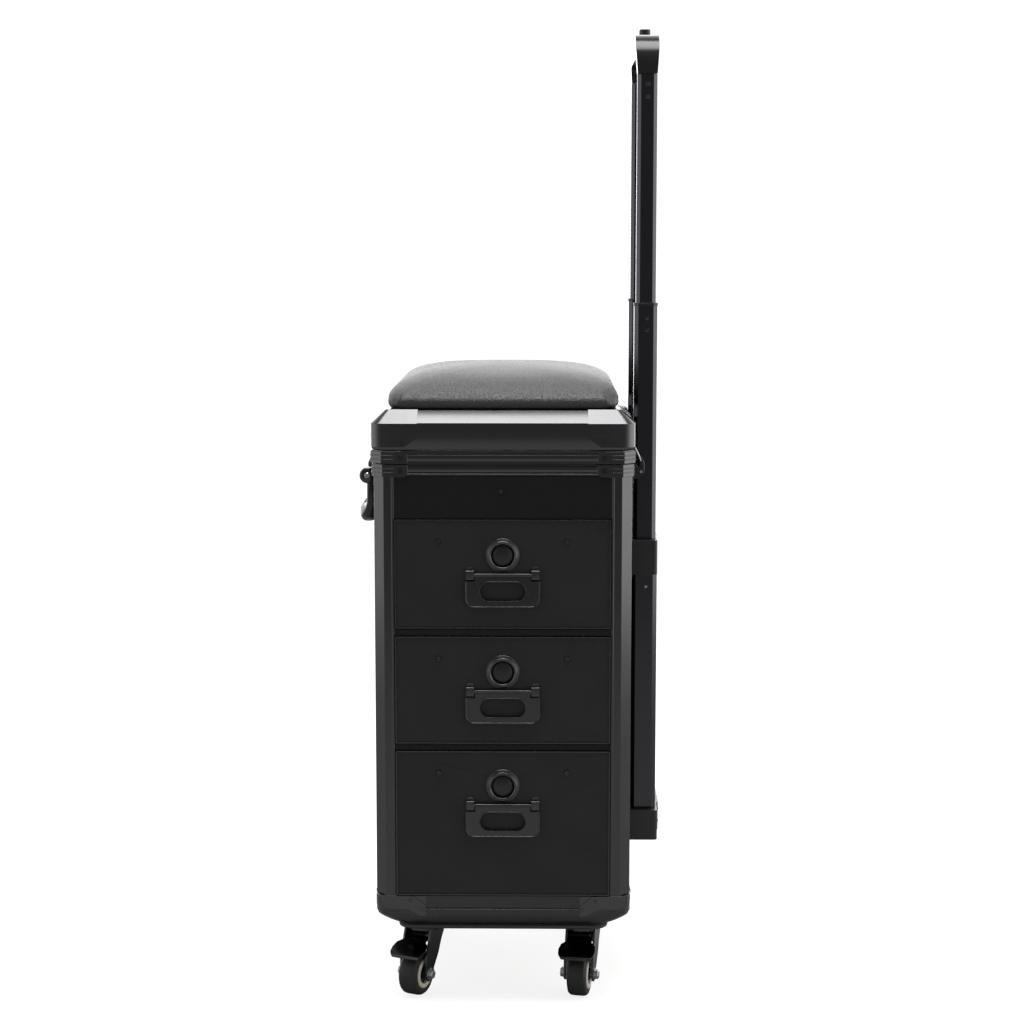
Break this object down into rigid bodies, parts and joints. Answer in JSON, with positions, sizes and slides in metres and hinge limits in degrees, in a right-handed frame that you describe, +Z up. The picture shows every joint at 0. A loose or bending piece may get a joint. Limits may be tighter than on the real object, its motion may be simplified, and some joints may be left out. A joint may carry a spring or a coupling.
{
  "type": "spa trolley cart",
  "caption": "Tall rolling salon case with a cushioned seat lid, front drawers, telescopic handle, carry handle, latches and swivel casters.",
  "frame": {"origin": "middle of the footprint, on the floor under the wheels", "axes": "+Z up; +X towards the telescopic handle; -Y the way the drawers open"},
  "size_m": [0.3416, 0.353, 1.08],
  "materials": {
    "vinyl_board": "black embossed vinyl over board, fine pebble grain, satin",
    "black_extrusion": "black anodised aluminium extrusion, satin with fine draw lines",
    "corner_moulding": "moulded black corner and base plastic, semi-gloss",
    "seat_leather": "black synthetic leather over foam, soft sheen",
    "handle_tube": "black anodised tube, glossy",
    "handle_plastic": "moulded black plastic, semi-gloss",
    "black_hardware": "black electro-coated steel, satin",
    "caster_tyre": "black thermoplastic rubber tread on a pale grey core",
    "lining": "black lined board, matt",
    "drawer_tray": "dark moulded tray, matt"
  },
  "bodies": {
    "case": {"base_tray": "corner_moulding", "left_panel": "vinyl_board", "right_panel": "vinyl_board", "back_panel": "vinyl_board", "front_fascia": "vinyl_board", "compartment_floor": "lining", "divider_upper": "lining", "divider_lower": "lining", "corner_post_front_left": "black_extrusion", "corner_post_front_right": "black_extrusion", "corner_post_rear_left": "black_extrusion", "corner_post_rear_right": "black_extrusion", "body_rim": "black_extrusion", "outer_tube_front": "handle_tube", "outer_tube_rear": "handle_tube", "tube_bracket_upper": "handle_plastic", "tube_bracket_lower": "handle_plastic", "carry_handle_mount": "black_hardware", "caster_plate_front_left": "black_hardware", "caster_plate_front_right": "black_hardware", "caster_plate_rear_left": "black_hardware", "caster_plate_rear_right": "black_hardware", "latch_body_front": "black_hardware", "latch_body_rear": "black_hardware", "lid_hinge": "black_hardware"},
    "lid": {"lid_rim": "black_extrusion", "lid_frame": "black_extrusion", "lid_panel": "vinyl_board", "seat_cushion": "seat_leather"},
    "latch_front": {"latch_lever_front": "black_hardware"},
    "latch_rear": {"latch_lever_rear": "black_hardware"},
    "carry_handle": {"carry_handle": "handle_plastic"},
    "handle_middle": {"middle_tube_front": "handle_tube", "middle_tube_rear": "handle_tube"},
    "handle_top": {"inner_tube_front": "handle_tube", "inner_tube_rear": "handle_tube", "handle_grip": "handle_plastic"},
    "grip_button": {"grip_button": "handle_plastic"},
    "drawer_upper": {"drawer_box_upper": "drawer_tray", "drawer_front_upper": "vinyl_board"},
    "pull_upper": {"drawer_pull_upper": "black_hardware"},
    "lock_upper": {"lock_button_upper": "black_hardware"},
    "drawer_middle": {"drawer_box_middle": "drawer_tray", "drawer_front_middle": "vinyl_board"},
    "pull_middle": {"drawer_pull_middle": "black_hardware"},
    "lock_middle": {"lock_button_middle": "black_hardware"},
    "drawer_lower": {"drawer_box_lower": "drawer_tray", "drawer_front_lower": "vinyl_board"},
    "pull_lower": {"drawer_pull_lower": "black_hardware"},
    "lock_lower": {"lock_button_lower": "black_hardware"},
    "fork_front_left": {"caster_fork_front_left": "black_hardware"},
    "wheel_front_left": {"caster_wheel_front_left": "caster_tyre"},
    "brake_front_left": {"caster_brake_front_left": "black_hardware"},
    "fork_front_right": {"caster_fork_front_right": "black_hardware"},
    "wheel_front_right": {"caster_wheel_front_right": "caster_tyre"},
    "brake_front_right": {"caster_brake_front_right": "black_hardware"},
    "fork_rear_left": {"caster_fork_rear_left": "black_hardware"},
    "wheel_rear_left": {"caster_wheel_rear_left": "caster_tyre"},
    "fork_rear_right": {"caster_fork_rear_right": "black_hardware"},
    "wheel_rear_right": {"caster_wheel_rear_right": "caster_tyre"}
  },
  "joints": [
    {"name": "lid_hinge", "type": "hinge", "parent": "case", "child": "lid", "pos_m": [-0.15075, 0.002, 0.6063], "axis": [0, -1, 0], "range_deg": [0, 95]},
    {"name": "latch_front_pivot", "type": "hinge", "parent": "case", "child": "latch_front", "pos_m": [0.14525, -0.1205, 0.594], "axis": [0, 1, 0], "range_deg": [0, 100]},
    {"name": "latch_rear_pivot", "type": "hinge", "parent": "case", "child": "latch_rear", "pos_m": [0.14525, 0.1245, 0.594], "axis": [0, 1, 0], "range_deg": [0, 100]},
    {"name": "carry_handle_pivot", "type": "hinge", "parent": "case", "child": "carry_handle", "pos_m": [-0.15575, 0.002, 0.581], "axis": [0, 1, 0], "range_deg": [0, 90]},
    {"name": "handle_middle_slide", "type": "slide", "parent": "case", "child": "handle_middle", "axis": [0, 0, 1], "range_m": [-0.245, 0]},
    {"name": "handle_top_slide", "type": "slide", "parent": "handle_middle", "child": "handle_top", "axis": [0, 0, 1], "range_m": [-0.245, 0]},
    {"name": "grip_button_press", "type": "slide", "parent": "handle_top", "child": "grip_button", "axis": [0, 0, -1], "range_m": [0, 0.005], "stiffness_N_per_m": 400, "springref_m": -0.002},
    {"name": "drawer_upper_slide", "type": "slide", "parent": "case", "child": "drawer_upper", "axis": [0, -1, 0], "range_m": [0, 0.25]},
    {"name": "pull_upper_flap", "type": "hinge", "parent": "drawer_upper", "child": "pull_upper", "pos_m": [-0.00575, -0.174, 0.4848], "axis": [-1, 0, 0], "range_deg": [0, 90]},
    {"name": "lock_upper_press", "type": "slide", "parent": "drawer_upper", "child": "lock_upper", "axis": [0, 1, 0], "range_m": [0, 0.004], "stiffness_N_per_m": 400, "springref_m": -0.002},
    {"name": "drawer_middle_slide", "type": "slide", "parent": "case", "child": "drawer_middle", "axis": [0, -1, 0], "range_m": [0, 0.25]},
    {"name": "pull_middle_flap", "type": "hinge", "parent": "drawer_middle", "child": "pull_middle", "pos_m": [-0.00575, -0.174, 0.3562], "axis": [-1, 0, 0], "range_deg": [0, 90]},
    {"name": "lock_middle_press", "type": "slide", "parent": "drawer_middle", "child": "lock_middle", "axis": [0, 1, 0], "range_m": [0, 0.004], "stiffness_N_per_m": 400, "springref_m": -0.002},
    {"name": "drawer_lower_slide", "type": "slide", "parent": "case", "child": "drawer_lower", "axis": [0, -1, 0], "range_m": [0, 0.25]},
    {"name": "pull_lower_flap", "type": "hinge", "parent": "drawer_lower", "child": "pull_lower", "pos_m": [-0.00575, -0.174, 0.229], "axis": [-1, 0, 0], "range_deg": [0, 90]},
    {"name": "lock_lower_press", "type": "slide", "parent": "drawer_lower", "child": "lock_lower", "axis": [0, 1, 0], "range_m": [0, 0.004], "stiffness_N_per_m": 400, "springref_m": -0.002},
    {"name": "swivel_front_left", "type": "hinge", "parent": "case", "child": "fork_front_left", "pos_m": [-0.09575, -0.1105, 0.074], "axis": [0, 0, 1], "continuous": true},
    {"name": "axle_front_left", "type": "hinge", "parent": "fork_front_left", "child": "wheel_front_left", "pos_m": [-0.1042, -0.12863, 0.025], "axis": [0.9063, -0.4226, 0], "continuous": true},
    {"name": "brake_front_left_pedal", "type": "hinge", "parent": "fork_front_left", "child": "brake_front_left", "pos_m": [-0.10082, -0.12138, 0.064], "axis": [0.9063, -0.4226, 0], "range_deg": [0, 8]},
    {"name": "swivel_front_right", "type": "hinge", "parent": "case", "child": "fork_front_right", "pos_m": [0.08425, -0.1105, 0.074], "axis": [0, 0, 1], "continuous": true},
    {"name": "axle_front_right", "type": "hinge", "parent": "fork_front_right", "child": "wheel_front_right", "pos_m": [0.08009, -0.13006, 0.025], "axis": [0.9781, -0.2079, 0], "continuous": true},
    {"name": "brake_front_right_pedal", "type": "hinge", "parent": "fork_front_right", "child": "brake_front_right", "pos_m": [0.08175, -0.12224, 0.064], "axis": [0.9781, -0.2079, 0], "range_deg": [0, 8]},
    {"name": "swivel_rear_left", "type": "hinge", "parent": "case", "child": "fork_rear_left", "pos_m": [-0.09575, 0.1145, 0.074], "axis": [0, 0, 1], "continuous": true},
    {"name": "axle_rear_left", "type": "hinge", "parent": "fork_rear_left", "child": "wheel_rear_left", "pos_m": [-0.09297, 0.13431, 0.025], "axis": [-0.9903, 0.1392, 0], "continuous": true},
    {"name": "swivel_rear_right", "type": "hinge", "parent": "case", "child": "fork_rear_right", "pos_m": [0.08425, 0.1145, 0.074], "axis": [0, 0, 1], "continuous": true},
    {"name": "axle_rear_right", "type": "hinge", "parent": "fork_rear_right", "child": "wheel_rear_right", "pos_m": [0.08009, 0.13406, 0.025], "axis": [-0.9781, -0.2079, 0], "continuous": true}
  ]
}
